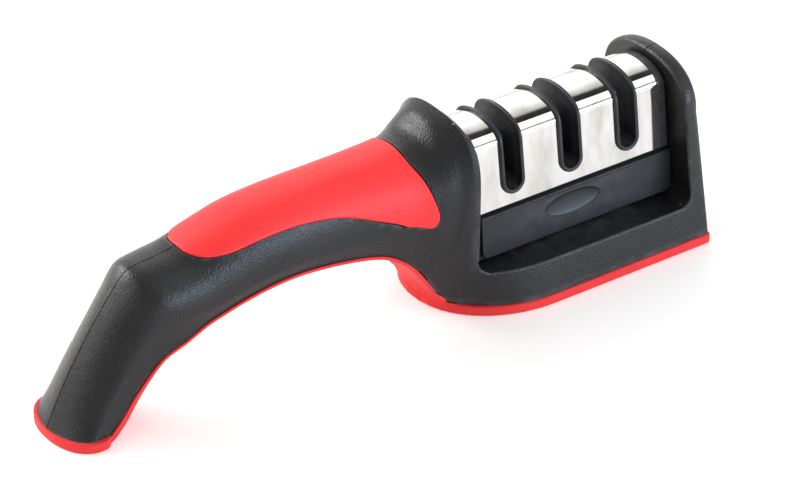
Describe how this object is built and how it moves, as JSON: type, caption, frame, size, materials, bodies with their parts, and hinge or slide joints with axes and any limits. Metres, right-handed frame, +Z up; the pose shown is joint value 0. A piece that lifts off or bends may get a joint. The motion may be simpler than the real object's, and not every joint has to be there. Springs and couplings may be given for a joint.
{
  "type": "manual knife sharpener",
  "caption": "Hand-held pull-through knife sharpener with an arched handle, soft grip and sole, and a lift-out steel-covered cartridge holding crossed sharpening stages.",
  "frame": {"origin": "on the table, at the middle of the object's bounding box seen from above", "axes": "+X from the tail foot to the front post, +Y to the far side, +Z up"},
  "size_m": [0.205, 0.0516, 0.0588],
  "materials": {
    "body_plastic": "fine matte texture",
    "soft_red": "soft satin elastomer",
    "screw_steel": "plain zinc-plated steel",
    "core_plastic": "smooth satin",
    "cover_steel": "polished stainless sheet",
    "abrasive": "grit-coated rod",
    "carbide": "ground carbide",
    "white_ceramic": "fired matte ceramic"
  },
  "bodies": {
    "body": {"near_shell": "body_plastic", "far_shell": "body_plastic", "grip_pad": "soft_red", "sole": "soft_red", "body_screws": "screw_steel"},
    "cartridge": {"core_near": "core_plastic", "core_far": "core_plastic", "steel_cover": "cover_steel", "core_screws": "screw_steel", "abrasive_rod_near": "abrasive", "abrasive_rod_far": "abrasive", "carbide_blade_near": "carbide", "carbide_blade_far": "carbide", "ceramic_rod_near": "white_ceramic", "ceramic_rod_far": "white_ceramic"}
  },
  "joints": [
    {"name": "cartridge_lift", "type": "slide", "parent": "body", "child": "cartridge", "axis": [0, 0, 1], "range_m": [0, 0.05]}
  ]
}
